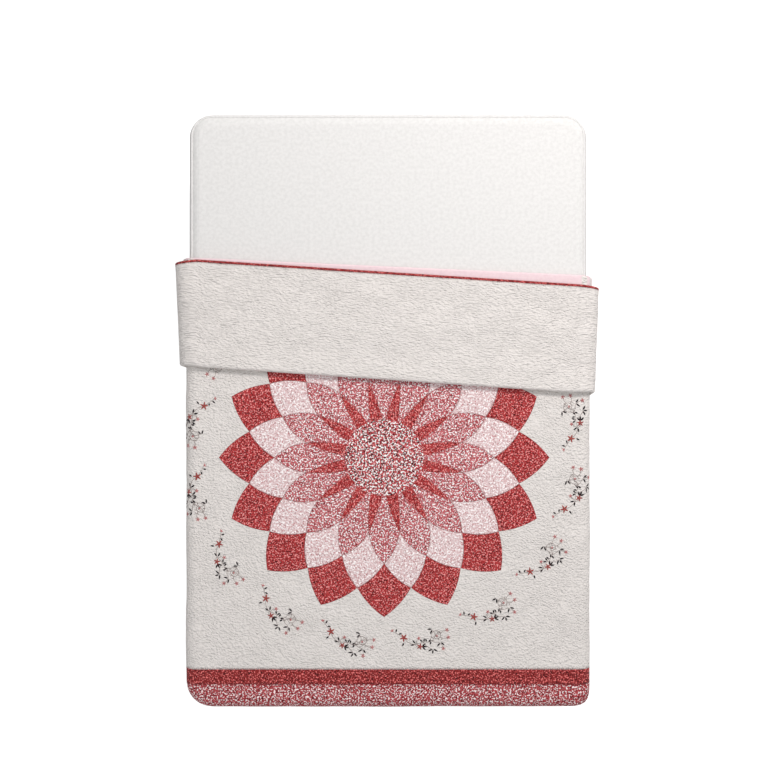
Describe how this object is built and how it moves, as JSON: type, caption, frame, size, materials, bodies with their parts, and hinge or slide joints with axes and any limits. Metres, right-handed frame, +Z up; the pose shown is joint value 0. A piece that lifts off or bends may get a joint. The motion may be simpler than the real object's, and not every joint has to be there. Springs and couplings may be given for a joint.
{
  "type": "bedspread on a bed",
  "caption": "Quilted bedspread with a pieced dahlia medallion and foot bands, folded back at the head end, draped over a plain mattress and base.",
  "frame": {"origin": "on the floor, under the middle of the bed, at the centre of the base's flat underside", "axes": "+X across the bed, to the right as seen from its foot; +Y along the bed towards its head; +Z up"},
  "size_m": [1.5249, 2.151, 0.6301],
  "materials": {
    "base_cloth": "matt woven upholstery cloth",
    "mattress_ticking": "matt cotton ticking",
    "pale_backing": "matt plain cotton, pale pink",
    "ivory_quilt": "matt washed cotton, quilted in fine puckers",
    "red_print": "matt cotton with a small dark red print",
    "pink_print": "matt cotton with a small white print on pink",
    "pale_print": "matt cotton with a small grey print on pale pink",
    "stitching": "satin stitch embroidery thread"
  },
  "bodies": {
    "root": {"bed_base": "base_cloth", "mattress": "mattress_ticking", "backing": "pale_backing", "ground_panel": "ivory_quilt", "foot_stripe": "red_print", "foot_band": "pink_print", "foot_panel": "ivory_quilt", "binding": "red_print"}
  },
  "joints": []
}
